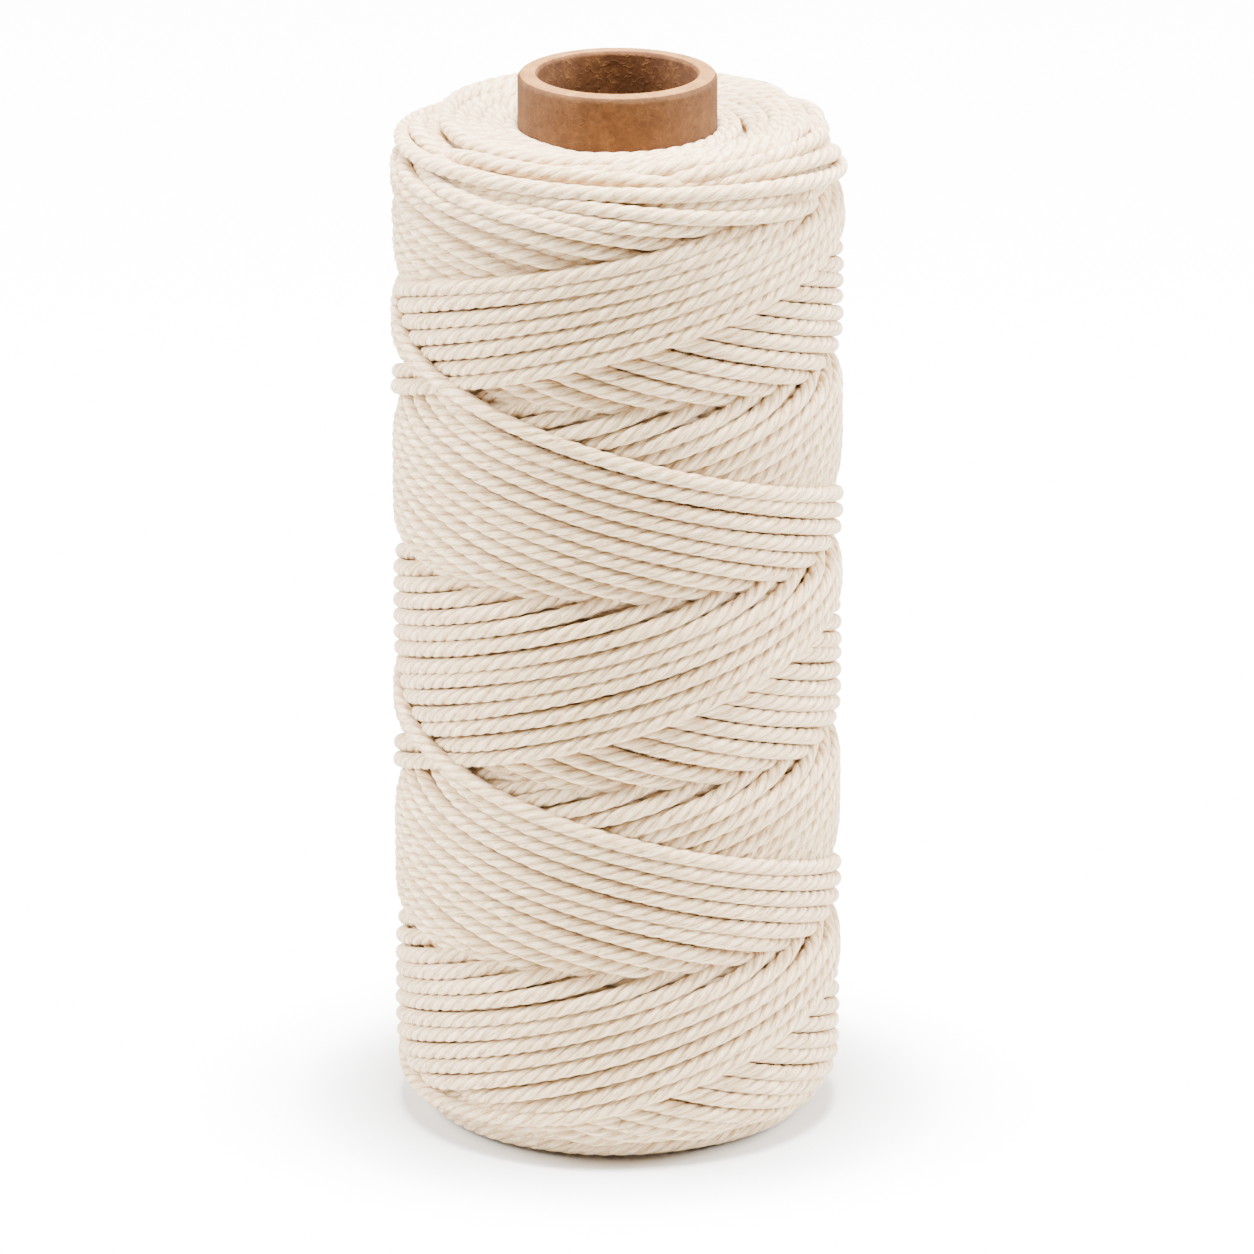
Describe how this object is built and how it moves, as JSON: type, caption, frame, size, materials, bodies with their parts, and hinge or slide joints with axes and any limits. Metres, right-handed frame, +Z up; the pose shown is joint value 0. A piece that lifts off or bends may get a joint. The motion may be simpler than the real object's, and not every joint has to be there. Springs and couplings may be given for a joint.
{
  "type": "cord spool",
  "caption": "Tall spool of natural twisted cotton cord, cross-wound with rounded shoulders on a kraft paperboard tube with an open bore.",
  "frame": {"origin": "centre of the tube's lower end, on the surface the spool stands on", "axes": "+Z up along the tube's axis towards the bare collar; -Y towards the front, with the cord's outer end at the back; +X to the right seen from the front"},
  "size_m": [0.0848, 0.0848, 0.204],
  "materials": {
    "kraft_inside": "matte",
    "kraft_board": "matte",
    "kraft_outside": "satin",
    "cotton_cord": "matte"
  },
  "bodies": {
    "root": {"core_liner_ply": "kraft_inside", "core_body_ply_1": "kraft_board", "core_body_ply_2": "kraft_board", "core_body_ply_3": "kraft_board", "core_outer_ply": "kraft_outside", "twine_cover_1": "cotton_cord", "twine_cover_2": "cotton_cord", "twine_cover_3": "cotton_cord", "twine_cover_4": "cotton_cord", "twine_outer_end": "cotton_cord"}
  },
  "joints": []
}
